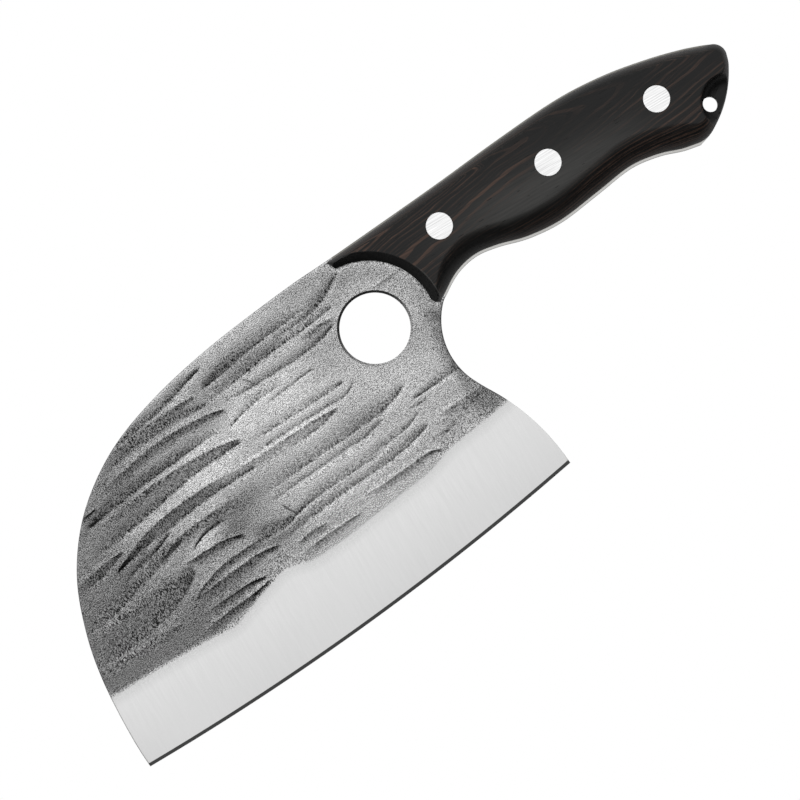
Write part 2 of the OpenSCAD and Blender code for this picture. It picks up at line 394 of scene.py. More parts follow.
# Patches of painted shade, or of painted light where the amount is negative: x, y, reach along x and y,
# amount
STEEL_SHADE_PATCHES = [
    (-128, -48, 32, 17, 0.7), (-114, -28, 30, 14, 0.55), (-112, -6, 34, 16, 0.62), (-86, -49, 24, 8, 0.5),
    (-118, -56, 22, 5, 0.3), (-101, -58, 9, 3, 0.3), (-128.7, -60, 6, 3, 0.3), (-123, -29, 6, 5, 0.3),
    (-85, -52.4, 9, 4, 0.28), (-96, -17, 12, 2, -0.22), (-82, -31, 5, 2, -0.4), (-78, 7, 30, 7, 0.4),
    (-60, -38, 10, 5, 0.35), (-75, -38, 12, 5, 0.3), (-73.6, -33.7, 6, 3, 0.45), (-67.7, -28.8, 9, 5, 0.55),
    (-62, -25, 9, 4, 0.32), (-62, -43, 9, 2.5, 0.42), (-60.5, 2.7, 7, 4, 0.22), (-55.6, -11.4, 8, 2.5, 0.2),
    (-70, -13, 14, 3, -0.2), (-53, -1, 5, 8, -0.2), (-48, -48, 16, 4, 0.25),
    (-42, 13.5, 20, 4, 0.4), (-38, -5, 24, 8, -0.3), (-35, -18, 8, 4, -0.12), (-25, 18, 7, 3, -0.12),
    (-22.9, -3.8, 9, 3, 0.22), (-18, -24, 9, 5, 0.3), (-17.6, 2, 9, 6, 0.28), (-15, -42.5, 15, 3, 0.28),
    (-16, 9, 6, 3, 0.25), (-14, 23.5, 12, 3, 0.32), (-9, 17, 8, 3.5, 0.35), (3, -18, 10, 6, -0.25),
    (6, -41, 9, 4, 0.3), (10, -8, 14, 22, 0.16), (17, -23, 2.5, 14, 0.7), (21, 4, 4, 10, 0.4),
    (24, -39, 7, 7, 0.95),
]


def smooth_line(knots, at):
    """y at those x on a smooth curve through the knots, which are (x, y) in either direction."""
    x, y = np.array(sorted(knots), float).T
    slope = np.gradient(y, x)
    i = np.clip(np.searchsorted(x, at, side="right") - 1, 0, len(x) - 2)
    step = x[i + 1] - x[i]
    t = (at - x[i]) / step
    return ((2 * t**3 - 3 * t**2 + 1) * y[i] + (3 * t**2 - 2 * t**3) * y[i + 1]
            + step * ((t**3 - 2 * t**2 + t) * slope[i] + (t**3 - t**2) * slope[i + 1]))


def scattered_creases(seed):
    """Creases for the side that can't be seen, strewn in the same run as the ones that can."""
    draw = np.random.RandomState(seed)
    creases = []
    for y in np.arange(-56, 26, 4):
        x = draw.uniform(-140, -110)
        while x < 0:
            length = draw.uniform(26, 58)
            along = np.linspace(-0.5, 0.5, 5)
            rise = draw.normal(0.04, 0.03) - 0.0012 * x
            line = y + draw.uniform(-1.5, 1.5) + rise * length * along - draw.uniform(-3, 6) * along**2
            path = list(zip((x + length * (along + 0.5)).tolist(), line.tolist()))
            deep = draw.uniform(0.1, 0.32) * draw.choice([1, 1, -1])
            above, below = draw.uniform(2, 4.5), draw.uniform(1.6, 3)
            creases.append((deep, above, below, *path[::draw.choice([1, 1, -1])]))
            x += length * draw.uniform(0.6, 1)
    return creases


def hammered(plan, creases):
    """Depth of the relief at each point, and how much shade is painted there on the creases."""
    x, y = plan.T
    depth, shade = np.zeros(len(plan)), np.zeros(len(plan))
    for deep, above, below, *path in creases:
        tail, tip = path[0][0], path[-1][0]
        low, high = min(tail, tip), max(tail, tip)
        near = (x > low) & (x < high)
        at = x[near]
        run = np.linspace(low, high, 60)
        slope = np.interp(at, run, np.gradient(smooth_line(path, run), run))
        off = (y[near] - smooth_line(path, at)) / np.sqrt(1 + slope**2)
        from_tip = abs(at - tip)
        narrow = TIP_NARROW + (1 - TIP_NARROW) * smoothstep(from_tip / TIP_NARROW_W)
        side = np.clip(1 - abs(off) / (SPREAD * np.where(off > 0, above, below) * narrow), 0, 1)
        fade = smoothstep(abs(at - tail) / (TAIL_FADE * (high - low)))
        fade = fade * np.sqrt(np.clip(from_tip / TIP_STOP_W, 0, 1)) * np.interp(at, MILDER_X, (1, MILDER))
        depth[near] += deep * fade * side**2
        # Painted shade on the side of the crease that faces away from the light, and along the bottom of a
        # valley
        dark = (1 + TIP_SHADE * np.exp(-from_tip / TIP_REACH)) * side * (off * deep > 0)
        if deep > 0:
            dark += LINE_SHADE * np.clip(1 - abs(off) / LINE_HALF_W, 0, 1)
        shade[near] = np.maximum(shade[near], dark * fade)
    return depth, shade


def circle_through(a, b, c):
    """Centre and radius of the circle through three points."""
    rows = np.array([b - a, c - a])
    centre = np.linalg.solve(2 * rows, (rows * (rows + 2 * a)).sum(1))
    return centre, math.dist(centre, a)


class CuttingEdge:
    """The arc of the cutting edge from the toe to the heel, found on the blade's outline."""

    def __init__(self, loop):
        low = loop[loop[:, 1] < HEEL_BELOW_Y]
        self.toe = loop[np.argmin(loop[:, 1])]
        self.heel = low[np.argmax(low[:, 0])]
        between = low[(low[:, 0] > self.toe[0] + 1) & (low[:, 0] < self.heel[0] - 1)]
        middle = between[np.argmin(abs(between[:, 0] - (self.toe + self.heel)[0] / 2))]
        self.centre, self.radius = circle_through(self.toe, middle, self.heel)

    def depth(self, points):
        """How far in from the edge each point is."""
        return self.radius - far(points, self.centre)

    def points_at(self, depths, xs):
        """The points that far in from the edge, at those x."""
        r = self.radius - depths
        return np.stack([xs, self.centre[1] - np.sqrt(r**2 - (xs - self.centre[0]) ** 2)], 1)


def hole_circle(loop, steps):
    """A finer circle for a round hole: (centre, radius, points)."""
    centre = (loop.min(0) + loop.max(0)) / 2
    radius = far(loop, centre).mean()
    return centre, radius, circle(centre, radius, steps)


def scale_outline():
    """Outline of a scale where it lies on the tang, anticlockwise."""
    loops = border_loops("left_scale", lambda normal, at: normal.z < -0.9 and at.z < HALF_BLADE + 0.1)
    return loops[0][::-1]


def blade_lines(edge, grind, outline, finger, finger_r):
    """Lines that the triangles follow: the end of the honed strip, and the left grind line and creases."""
    hone_x = np.arange(edge.toe[0] + 0.4, edge.heel[0] - 0.3, OUTLINE_STEP)
    lines = [edge.points_at(np.full(len(hone_x), HONE_W + by), hone_x)
             for by in (-HONE_SHARP, 0, HONE_SHARP)]
    line = edge.points_at(grind[:, 1], grind[:, 0])
    lines.append(line[inside(line, [inset(outline, 0.45)])])
    for _, _, _, *path in CREASES_LEFT:
        run = np.arange(min(path)[0] + 0.2, max(path)[0] - 0.2, CREASE_STEP)
        line = np.stack([run, smooth_line(path, run)], 1)
        keep = inside(line, [inset(outline, OUTLINE_GAP)])
        keep &= edge.depth(line) > np.interp(run, *grind.T) + GRIND_GAP
        keep &= far(line, finger) > finger_r + CHAMFER_W + FINGER_GAP
        kept = np.flatnonzero(keep)
        if len(kept) > 2:
            lines.append(line[kept[0]:kept[-1] + 1])
    return lines


def blade_points(edge, grind, outline, holes):
    """Points inside the outline: close together in the relief, wider on the bevel and under the scales."""
    def above_line(points):
        return edge.depth(points) - np.interp(points[:, 0], *grind.T)

    def free(points, gap):
        points = points[inside(points, [outline])]
        points = points[distance(points, outline, True) > gap]
        for i, (centre, radius, _) in enumerate(holes):
            beside = CHAMFER_W + 0.5 if i == 0 else 0.3
            points = points[far(points, centre) > radius + beside]
        return points

    covered = inset(scale_outline(), 0.8)
    fine, middle, coarse = (grid(outline.min(0), outline.max(0), step) for step in (FINE, MIDDLE, COARSE))
    fine = fine[(above_line(fine) > -FINE_BELOW) & ~inside(fine, [covered])]
    middle = middle[(above_line(middle) < -FINE_BELOW - 0.3) & (edge.depth(middle) > HONE_W + 0.8)]
    coarse = coarse[inside(coarse, [inset(covered, 0.6)])]
    return np.vstack([free(fine, OUTLINE_GAP), free(middle, 1), free(coarse, 1)])


def tang_surface(plan, outline, by_scale):
    """Which points lie on the tang, under a scale or in the strips that show beside it."""
    x, y = plan.T
    back_x = outline[outline[:, 1] > BACK_STRIP_Y, 0].min() + BACK_STRIP_AFTER
    beside = (x > BELLY_STRIP_X) | ((y > BACK_STRIP_Y) & (x > back_x))
    strips = (by_scale < STRIP_W) & (far(plan, FRONT_CENTRE) > FRONT_R) & beside
    return inside(plan, [outline]) | strips


def make_blade():
    """The blade and its tang: one plan, with its own heights on each side."""
    loops = border_loops("blade", lambda normal, at: normal.z > 0.05)
    edge = CuttingEdge(loops[0])
    outline = resampled(loops[0], OUTLINE_STEP)
    outline = np.roll(outline, -np.argmin(far(outline, edge.heel)), 0)
    side = outline[:np.argmin(far(outline, edge.toe)) + 1]
    neck = side[((side > NECK_LOW) & (side < NECK_HIGH)).all(1)]
    holes = [hole_circle(loops[1], FINGER_STEPS)]
    holes += [hole_circle(loop, SMALL_HOLE_STEPS) for loop in loops[2:]]
    finger, finger_r, _ = holes[0]
    grind_x = np.arange(GRIND_LEFT[0][0], GRIND_LEFT[-1][0], OUTLINE_STEP)
    grinds = [np.stack([grind_x, smooth_line(knots, grind_x)], 1) for knots in (GRIND_LEFT, GRIND_RIGHT)]

    rings = [inset(outline, by) for by in ROUND_RINGS]
    rings += [circle(finger, finger_r + by, FINGER_STEPS)
              for by in (CHAMFER_W / 2, CHAMFER_W, CHAMFER_W + 0.25)]
    lines = blade_lines(edge, grinds[0], outline, finger, finger_r) + [as_line(ring) for ring in rings]
    plan, triangles = triangulated([outline] + [points for _, _, points in holes], lines,
                                   blade_points(edge, grinds[0], outline, holes))

    depth_in = edge.depth(plan)
    radius = np.where(plan[:, 0] > TANG_X, TANG_ROUND_R, ROUND_R)
    rounding = radius - np.sqrt(radius**2 - np.clip(radius - distance(plan, side), 0, radius) ** 2)
    dressing = DRESSING_DEPTH * np.clip(1 - distance(plan, neck) / DRESSING_W, 0, 1) ** 2
    chamfer = CHAMFER_DEPTH * np.clip(1 - (far(plan, finger) - finger_r) / CHAMFER_W, 0, 1)
    by_scale = distance(plan, scale_outline(), True)
    open_face = smoothstep((by_scale - SUNK_GAP) / SUNK_RISE_W)
    open_face = np.where(inside(plan, [scale_outline()]), 0, open_face)
    top = HALF_BLADE - SUNK * open_face
    hone = EDGE_HALF_T + (HONE_HALF_T - EDGE_HALF_T) * depth_in / HONE_W
    rise = (top - HONE_HALF_T) / (BEVEL_W - HONE_W)
    bevel = np.where(depth_in < HONE_W, hone, HONE_HALF_T + rise * (depth_in - HONE_W))

    tang = tang_surface(plan, scale_outline(), by_scale)
    heights, ground, shades = [], [], []
    for grind, creases in zip(grinds, (CREASES_LEFT, scattered_creases(RIGHT_SEED))):
        line_at = np.interp(plan[:, 0], *grind.T)
        above = depth_in - line_at
        start = HONE_HALF_T + rise * (line_at - HONE_W)
        relief, shade = hammered(plan, creases)
        face = start + (top - start) * smoothstep(above / RISE_W)
        face = face - RELIEF * relief * open_face * smoothstep(above / RELIEF_RISE_W)
        height = np.where(above > 0, face, bevel) - rounding
        height = height - dressing * smoothstep(above / DRESSING_RISE_W)
        heights.append(np.clip(height, EDGE_HALF_T, HALF_BLADE) - chamfer)
        ground.append(np.where(tang, TANG_ZONE, -above))
        shades.append(shade)
    tang_shade = smoothstep((plan[:, 1] - TANG_DARK_Y[0]) / (TANG_DARK_Y[1] - TANG_DARK_Y[0]))
    painted_shade_on_steel = np.where(tang, tang_shade, patches(plan, STEEL_SHADE_PATCHES))
    points = np.vstack([np.column_stack([plan, heights[0]]), np.column_stack([plan, -heights[1]])])
    shade = np.concatenate(shades)
    return mesh_object("hammered_blade", points, slab_faces(triangles, len(plan)), attributes={
        "ground": np.concatenate(ground), "comb": shade, "edge": np.tile(depth_in, 2),
        "painted_shade_on_steel": np.tile(painted_shade_on_steel, 2) + CREASE_SHADE * shade})


# ---------------- scales

RIVET_PLACES = ("front", "middle", "rear")
# Radius of a rivet's post and of its socket's tube, and thickness and rounding of the heads
POST_R, TUBE_R, HEAD_T, HEAD_ROUND = 2.5, 3.2, 2, 0.08
# Width of the gap round each head
HEAD_GAP = 0.05
# The hollow front leans from FRONT_R at FRONT_WALL_Z out to this radius at the top
FRONT_TOP_R, FRONT_WALL_Z = 25.4, 5
# The scoop round the lanyard hole: a cove round a flat bottom, with a dished border
SCOOP_CENTRE = np.array([136.2, 5.6])
SCOOP_R, SCOOP_FLAT_R, SCOOP_Z = 9, 4.5, 5
SCOOP_RIM_W, SCOOP_RIM_DEPTH = 0.6, 0.25
# The slope from the side to the flat: how much too high its ellipse would end, and how soft the ridge is
SLOPE_CROWN, RIDGE_SOFT = 1.2, 0.06
# The lowest the scale gets above the tang, and the gap that keeps its underside off the tang's surface
THINNEST, SKIN = 0.3, 0.02
# Steps between points: on the outline, on the ridge, over the scale, and in its hollow front and scoop
SCALE_OUTLINE_STEP, RIDGE_STEP, WIDE_STEP, CLOSE_STEP = 0.6, 0.5, 0.7, 0.38
RIDGE_PASSES = 40
# How far beyond the hollow front and the scoop the ridge is run on
RIDGE_LEAD, RIDGE_TAIL = 5, 14
# Steps round the front, the scoop, the rivets and the lanyard hole
FRONT_STEPS, SCOOP_STEPS, RIVET_STEPS, LANYARD_STEPS = 240, 96, 64, 48
# Lines beside the ridge that keep it even, rings inside the outline, and radii of rings in the scoop
RIDGE_LINES = (-0.45, 0, 0.45)
BORDER_RINGS = (0.05, 0.15, 0.35, 0.7, 1.1, 1.6)
SCOOP_RINGS = (SCOOP_FLAT_R, 6.2, 7.6, 8.4, 8.8, SCOOP_R, SCOOP_R + 0.25, SCOOP_R + SCOOP_RIM_W)
# Where a sheen is painted on the flat face, making it greyer: x, y, reach along x and y, amount
WOOD_SHEEN_PATCHES = [(64, 12, 28, 8, 1.0), (94, 13, 18, 6, 0.45)]
# The painted highlight behind the front's upper rim: how far, how bright, and the y where it is gone and
# full
GLINT_BEHIND, GLINT, GLINT_Y = 0.25, 1.5, (16, 4)
# Figure of the wood: how fast its layers change with depth, along x and away from the crest of their arch,
# the y of that crest, and the layer to start from
FIGURE_LEFT = {"dip": 1.3, "slope": 0.10, "spread": 0.6, "crest": 28, "start": 3}
FIGURE_RIGHT = {"dip": 1.0, "slope": -0.08, "spread": 0.5, "crest": 24, "start": 71}


def rivet_centres():
    return [np.array(sum(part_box(f"{place}_rivet_post"), Vector())[:2]) / 2 / MM for place in RIVET_PLACES]


def head_radius():
    low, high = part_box("front_rivet_post")
    return (high.x - low.x) / 2 / MM


def scale_ridge():
    """The ridge round the flat face from the hollow front to the scoop, run straight on past both."""
    flat = border_loops("left_scale", lambda normal, at: normal.z > 0.99 and at.z > FACE_Z - 0.1)[0]
    ridge = np.roll(flat, -np.argmax(far(flat, FRONT_CENTRE) < FRONT_TOP_R + 0.1), 0)
    ridge = ridge[far(ridge, FRONT_CENTRE) > FRONT_TOP_R + 0.1]
    ridge = ridge[far(ridge, SCOOP_CENTRE) > SCOOP_R + 0.1]
    ridge = evened(ridge, RIDGE_STEP, RIDGE_PASSES)
    first, last = ridge[0], ridge[-1]
    lead = (first - ridge[1]) / math.dist(first, ridge[1])
    tail = (last - ridge[-2]) / math.dist(last, ridge[-2])
    return np.vstack([first + RIDGE_LEAD * lead, ridge, last + RIDGE_TAIL * tail])


def stretches_inside(line, outline, holes):
    """The stretches of a line that lie inside the outline and outside the holes."""
    keep = inside(line, [outline]) & (distance(line, outline, True) > 0.03)
    for hole in holes:
        keep &= ~inside(line, [hole])
    cuts = np.flatnonzero(np.diff(keep.astype(int))) + 1
    stretches = zip(np.split(line, cuts), np.split(keep, cuts))
    return [stretch for stretch, kept in stretches if kept[0] and len(stretch) > 1]


def scale_lines(outline, holes, ridge):
    """Lines that the triangles follow: along the border, the ridge, the front, the heads and the scoop."""
    head_r = head_radius()
    rings = [inset(outline, by) for by in BORDER_RINGS]
    rings += [circle(centre, r, RIVET_STEPS) for centre in rivet_centres()
              for r in (head_r, head_r + HEAD_GAP, head_r + 0.5)]
    rings += [circle(SCOOP_CENTRE, r, SCOOP_STEPS) for r in SCOOP_RINGS]
    rings += [circle(FRONT_CENTRE, r, FRONT_STEPS)
              for r in (FRONT_R + 0.4, FRONT_TOP_R, FRONT_TOP_R + GLINT_BEHIND)]
    curves = [as_line(ring) for ring in rings]
    along = np.gradient(ridge, axis=0)
    across = np.stack([-along[:, 1], along[:, 0]], 1) / np.hypot(*along.T)[:, None]
    clear = far(ridge, FRONT_CENTRE) > FRONT_TOP_R + 0.8
    clear &= far(ridge, SCOOP_CENTRE) > SCOOP_R + SCOOP_RIM_W + 0.4
    curves += [(ridge + by * across)[clear] for by in RIDGE_LINES]
    return [stretch for curve in curves for stretch in stretches_inside(curve, outline, holes)]


def scale_points(outline, lanyard, lanyard_r):
    """Points inside the scale, closer together in the hollow front and the scoop."""
    def detailed(points):
        return (far(points, FRONT_CENTRE) < FRONT_TOP_R + 1) | (far(points, SCOOP_CENTRE) < SCOOP_R + 1.5)

    wide, close = (grid(outline.min(0), outline.max(0), step) for step in (WIDE_STEP, CLOSE_STEP))
    points = np.vstack([wide[~detailed(wide)], close[detailed(close)]])
    points = points[inside(points, [outline])]
    points = points[distance(points, outline, True) > BORDER_RINGS[-1] + 0.3]
    for centre in rivet_centres():
        points = points[far(points, centre) > head_radius() + 0.8]
    return points[far(points, lanyard) > lanyard_r + 0.3]


def scale_height(plan, side, ridge):
    """Height at each point: the slope and the flat, cut by the hollow front, the scoop and the heads."""
    out = distance(plan, side)
    into = np.where(inside(plan, [ridge]), 0, distance(plan, ridge))
    share = out / np.maximum(out + into, 1e-6)
    reach = 1 - math.sqrt(1 - 1 / SLOPE_CROWN**2)
    slope = HALF_BLADE + SLOPE_CROWN * (FACE_Z - HALF_BLADE) * np.sqrt(1 - (1 - reach * share) ** 2)
    drop = np.maximum(FACE_Z - slope, 0)
    slope = FACE_Z - drop**2 / (drop + RIDGE_SOFT)
    lean = (far(plan, FRONT_CENTRE) - FRONT_R) / (FRONT_TOP_R - FRONT_R)
    front = FRONT_WALL_Z + lean * (FACE_Z - FRONT_WALL_Z)
    from_scoop = far(plan, SCOOP_CENTRE)
    dish = SCOOP_RIM_DEPTH * np.clip(1 - (from_scoop - SCOOP_R) / SCOOP_RIM_W, 0, 1) ** 2
    cove = np.clip((from_scoop - SCOOP_FLAT_R) / (SCOOP_R - SCOOP_FLAT_R), 0, 1)
    scoop = np.where(cove < 1, SCOOP_Z + (FACE_Z - SCOOP_Z) * (1 - np.sqrt(1 - cove**2)), 2 * FACE_Z)
    height = np.minimum(np.minimum(slope - dish, front), scoop)
    for centre in rivet_centres():
        height[far(plan, centre) < head_radius() + HEAD_GAP / 2] = FACE_Z - HEAD_T
    return np.maximum(height, HALF_BLADE + THINNEST)


def underside(plan, triangles, loops):
    """The plan's points round the flat underside, and the faces of the walls and of that underside."""
    n = len(plan)
    edges = border_edges(triangles)
    below = sorted({i for edge in edges for i in edge})
    place = {old: n + k for k, old in enumerate(below)}
    walls = [(b, a, place[a], place[b]) for a, b in sorted(edges)]
    cap_edges = [(place[a] - n, place[b] - n) for a, b in edges]
    cap = delaunay_2d_cdt([Vector(plan[i]) for i in below], cap_edges, [], 0, 1e-5, False)
    cap_plan, cap_faces = np.array([tuple(p) for p in cap[0]]), np.array(cap[2])
    cap_faces = cap_faces[inside(cap_plan[cap_faces].mean(1), loops)]
    return below, walls + (turned_to(cap_faces, cap_plan, -1) + n).tolist()


def figure_layer(x, y, z, figure):
    """Which layer of the wood's figure each point is in."""
    arch = np.sqrt((y - figure["crest"]) ** 2 + 2) - math.sqrt(2)
    depth = z - FACE_Z
    return depth * -figure["dip"] + figure["slope"] * x + figure["spread"] * arch + figure["start"]


def wood_light_at(plan, height):
    """How grey the wood is painted at each point: a painted sheen on the flat, painted shade in the hollow
    front and the scoop, and a painted highlight behind the front's upper rim.
    """
    painted_light_on_wood = patches(plan, WOOD_SHEEN_PATCHES) * smoothstep(height - FACE_Z + 1)
    from_front = far(plan, FRONT_CENTRE)
    # Painted shade: the hollow front and the scoop are kept plain dark, without grey or streaks
    painted_light_on_wood -= from_front < FRONT_TOP_R + 0.1
    painted_light_on_wood -= far(plan, SCOOP_CENTRE) < SCOOP_R - 0.1
    on_rim = abs(from_front - FRONT_TOP_R - GLINT_BEHIND) < 0.05
    gone, full = GLINT_Y
    return painted_light_on_wood + GLINT * on_rim * smoothstep((gone - plan[:, 1]) / (gone - full))


def make_scale(name, flip, figure):
    """A scale with its hollow front, sloping border, flat face and scooped lanyard hole."""
    outline = resampled(scale_outline(), SCALE_OUTLINE_STEP)
    away = far(outline, FRONT_CENTRE)
    belly_corner = np.argmin(np.where(away < FRONT_R + 2, outline[:, 1], np.inf))
    side = np.roll(outline, -belly_corner, 0)
    side = side[far(side, FRONT_CENTRE) > FRONT_R + 0.1]
    ridge = scale_ridge()
    lanyard = np.array(MOUNTS["lanyard_hole"]["pos_m"][:2]) / MM
    lanyard_r = MOUNTS["lanyard_hole"]["dims"]["r_mm"]
    holes = [circle(lanyard, lanyard_r, LANYARD_STEPS)]
    holes += [circle(centre, TUBE_R, RIVET_STEPS) for centre in rivet_centres()]
    plan, triangles = triangulated([outline] + holes, scale_lines(outline, holes, ridge),
                                   scale_points(outline, lanyard, lanyard_r))

    height = scale_height(plan, side, ridge)
    below, other_faces = underside(plan, triangles, [outline] + holes)
    points = np.vstack([np.column_stack([plan, height]),
                        np.column_stack([plan[below], np.full(len(below), HALF_BLADE + SKIN)])])
    layer = figure_layer(*points.T, figure)
    painted_light_on_wood = wood_light_at(points[:, :2], points[:, 2])
    faces = triangles.tolist() + other_faces
    if flip:
        points[:, 2] *= -1
        faces = [face[::-1] for face in faces]
    return mesh_object(name, points, faces, attributes={"grain": layer, "painted_light_on_wood": painted_light_on_wood})


# ---------------- rivets

def make_rivets():
    """Post and socket of each rivet: (piece, node that it replaces)."""
    pieces = []
    head_r = head_radius()
    for place, centre in zip(RIVET_PLACES, rivet_centres()):
        low, high = (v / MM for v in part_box(f"{place}_rivet_post"))
        post = [(0, low.z), (POST_R - HEAD_ROUND, low.z), (POST_R, low.z + HEAD_ROUND),
                (POST_R, high.z - HEAD_T), (head_r, high.z - HEAD_T), (head_r, high.z - HEAD_ROUND),
                (head_r - HEAD_ROUND, high.z), (0, high.z)]
        low, high = (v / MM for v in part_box(f"{place}_rivet_socket"))
        tube = [(0, low.z), (head_r - HEAD_ROUND, low.z), (head_r, low.z + HEAD_ROUND),
                (head_r, low.z + HEAD_T), (TUBE_R, low.z + HEAD_T), (TUBE_R, high.z), (POST_R, high.z),
                (POST_R, -high.z), (0, -high.z)]
        for kind, profile in (("post", post), ("socket", tube)):
            piece = lathed(f"{place}_{kind}_turned", profile, tuple(centre))
            pieces.append((piece, f"{place}_rivet_{kind}"))
    return pieces


# ---------------- materials

def add(tree, kind, inputs=None, **settings):
    """A shader node with its settings, and its inputs set or linked."""
    made = tree.nodes.new("ShaderNode" + kind)
    for key, value in settings.items():
        setattr(made, key, value)
    for key, value in (inputs or {}).items():
        if isinstance(value, bpy.types.NodeSocket):
            tree.links.new(value, made.inputs[key])
        else:
            made.inputs[key].default_value = value
    return made


def new_material(name):
    material = bpy.data.materials.new(name)
    material.use_nodes = True
    return material, material.node_tree, material.node_tree.nodes["Principled BSDF"]


def noise(tree, scale, stretch=(1, 1, 1), turn=0, detail=2, roughness=0.5):
    """Noise with features about 1 / scale metres wide, stretched along the axes."""
    at = add(tree, "TexCoord").outputs["Object"]
    at = add(tree, "Mapping", {"Vector": at, "Rotation": (0, 0, turn), "Scale": stretch}).outputs[0]
    return add(tree, "TexNoise", {"Vector": at, "Scale": scale, "Detail": detail,
                                  "Roughness": roughness}).outputs[0]


def ramp(tree, value, low, high, to_low=0.0, to_high=1.0):
    """The value mapped from one range to another, held at its ends."""
    return add(tree, "MapRange", {"Value": value, "From Min": low, "From Max": high,
                                  "To Min": to_low, "To Max": to_high}).outputs[0]


def calc(tree, operation, *values):
    return add(tree, "Math", dict(enumerate(values)), operation=operation).outputs[0]


def attribute(tree, name):
    return add(tree, "Attribute", attribute_name=name).outputs["Fac"]


def grey(level):
    return (level, level, level)


def blend(tree, factor, a, b):
    """Colour a where the factor is 0 and b where it is 1."""
    made = add(tree, "Mix", data_type="RGBA")
    for socket, value in ((made.inputs[0], factor), (made.inputs[6], a), (made.inputs[7], b)):
        if isinstance(value, bpy.types.NodeSocket):
            tree.links.new(value, socket)
        elif isinstance(value, (int, float)):
            socket.default_value = value
        else:
            socket.default_value = (*value, 1)
    return made.outputs[2]


def dress(tree, shader, colour, roughness, height, strength, deep):
    """Gives the shader its colour and roughness, and a bump as deep as that in metres."""
    tree.links.new(colour, shader.inputs["Base Color"])
    tree.links.new(roughness, shader.inputs["Roughness"])
    bump = add(tree, "Bump", {"Height": height, "Strength": strength, "Distance": deep})
    tree.links.new(bump.outputs[0], shader.inputs["Normal"])


def forged_steel():
    """Black forging scale over bright steel, wiped bare on the bevel and plain on the tang, with shade
    painted on the face, the honed strip and the tang.
    """
    material, tree, shader = new_material("forged_steel_finish")
    # Rough skin: round grain, and slanting strokes on the dark side of the creases
    grain = noise(tree, 5200, stretch=(1, 0.65, 1), turn=0.1, detail=1)
    comb = noise(tree, 3400, stretch=(1, 0.4, 1), turn=0.2, detail=1)
    patch = noise(tree, 60, stretch=(0.4, 1, 1), detail=3)
    combed = ramp(tree, attribute(tree, "comb"), 0.25, 0.8, 0, 0.7)
    rough_skin = calc(tree, "ADD", calc(tree, "MULTIPLY", grain, calc(tree, "SUBTRACT", 1, combed)),
                      calc(tree, "MULTIPLY", comb, combed))
    speckle = ramp(tree, rough_skin, 0.41, 0.59)
    # Hammered face: bright steel or dark scale, chosen by the painted shade
    painted_shade_on_steel = calc(tree, "ADD", attribute(tree, "painted_shade_on_steel"), ramp(tree, patch, 0.3, 0.7, -0.08, 0.08))
    bright = blend(tree, speckle, grey(0.10), grey(0.88))
    dark = blend(tree, ramp(tree, rough_skin, 0.45, 0.59), grey(0.008), grey(0.32))
    hammered_skin = blend(tree, ramp(tree, painted_shade_on_steel, -0.4, 0.75), bright, dark)
    # Bevel: brushed across, a little darker towards the edge, with the honed strip along it
    strokes = noise(tree, 1500, stretch=(1, 0.05, 1))
    cloud = noise(tree, 22, detail=1)
    ground = blend(tree, ramp(tree, strokes, 0.3, 0.7), grey(0.64), grey(0.67))
    edge, below = attribute(tree, "edge"), attribute(tree, "ground")
    ground = blend(tree, ramp(tree, edge, 0, 20, 0.45, 0), ground, grey(0.5))
    ground = blend(tree, ramp(tree, cloud, 0.35, 0.7, 0, 0.6), ground, grey(0.64))
    honed = ramp(tree, edge, HONE_W - 0.05, HONE_W + 0.02)
    # The honed strip is painted dark: a painted reflection of the dark surroundings, as well as its tilt
    ground = blend(tree, honed, grey(0.12), ground)
    # The tang: bare steel, painted darker where painted shade lies on it
    tang = blend(tree, painted_shade_on_steel, (0.46, 0.455, 0.44), (0.17, 0.166, 0.15))
    ground = blend(tree, ramp(tree, below, 31, 38), ground, tang)
    # Ragged grind line, with a little scale left below it
    mask = ramp(tree, calc(tree, "ADD", below, ramp(tree, speckle, 0, 1, -0.5, 0.4)), -0.35, 0.35)
    near_line = ramp(tree, calc(tree, "ABSOLUTE", below), 0, 4.5, 0.55, 0)
    specks = calc(tree, "MULTIPLY", near_line, calc(tree, "SUBTRACT", 1.3, speckle))
    ground = blend(tree, specks, ground, grey(0.42))
    colour = blend(tree, mask, hammered_skin, ground)
    rough = calc(tree, "MULTIPLY", ramp(tree, mask, 0, 1, 0.19, 0.26), ramp(tree, honed, 0, 1, 0.5, 1))
    height = calc(tree, "MULTIPLY", speckle, ramp(tree, mask, 0, 1, 1, 0.02))
    dress(tree, shader, colour, rough, height, 1.0, 0.000006)
    shader.inputs["Metallic"].default_value = 1
    return material


